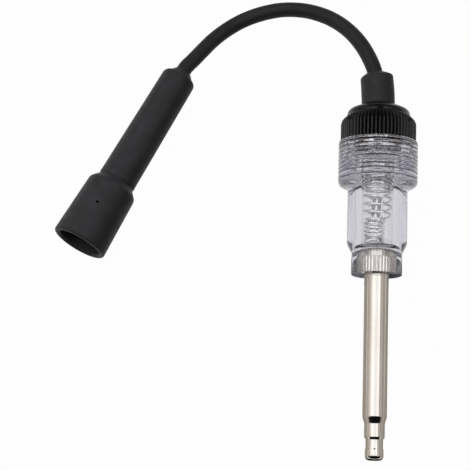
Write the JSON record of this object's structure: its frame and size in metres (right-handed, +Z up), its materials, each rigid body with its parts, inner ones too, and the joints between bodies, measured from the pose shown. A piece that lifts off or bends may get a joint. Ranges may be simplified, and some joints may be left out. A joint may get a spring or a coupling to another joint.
{
  "type": "inline spark plug tester",
  "caption": "Inline ignition spark tester: metal probe and clear lamp housing with a ribbed screw cap, joined by a short high-tension lead to a rubber spark plug boot.",
  "frame": {"origin": "on the bench, below the middle of the tester body's length", "axes": "+Y along the tester body from the probe tip towards the cap, +Z up, lead and boot on the -X side"},
  "size_m": [0.1247, 0.1662, 0.0289],
  "materials": {
    "clear_plastic": "clear moulded plastic, polished",
    "nickel": "bright nickel plate on turned steel",
    "cap_plastic": "black moulded plastic, semi-gloss",
    "rubber": "black moulded rubber, satin",
    "lead_jacket": "black extruded rubber, satin",
    "brass": "plain brass",
    "copper": "stranded copper",
    "spring_steel": "bright drawn spring wire",
    "lamp_glass": "clear lamp glass",
    "electrode": "coated nickel rod, dull grey",
    "lamp_wire": "tinned wire"
  },
  "bodies": {
    "housing": {"clear_housing": "clear_plastic", "probe": "nickel", "contact_spring": "spring_steel", "lamp_glass": "lamp_glass", "spring_side_electrode": "electrode", "probe_side_electrode": "electrode", "lamp_spring_wire": "lamp_wire", "lamp_probe_wire": "lamp_wire"},
    "lead": {"strain_relief": "rubber", "lead_contact": "nickel", "cap_conductor_end": "copper", "cap_lead_end": "lead_jacket", "lead_cable": "lead_jacket", "boot_lead_end": "lead_jacket", "boot_conductor_end": "copper", "plug_boot": "rubber", "plug_terminal": "brass", "terminal_snap_ring": "spring_steel"},
    "cap": {"screw_cap": "cap_plastic"}
  },
  "joints": [
    {"name": "lead_travel", "type": "slide", "parent": "housing", "child": "lead", "axis": [0, 0.9938, 0.1115], "range_m": [0, 0.0045], "deforming": ["contact_spring"]},
    {"name": "cap_turn", "type": "hinge", "parent": "lead", "child": "cap", "pos_m": [0, 0.04181, 0.01522], "axis": [0, 0.9938, 0.1115], "range_deg": [0, 1080]}
  ],
  "couplings": [
    {"joint": "cap_turn", "follows": "lead_travel", "rad_per_m": 4188.8}
  ]
}
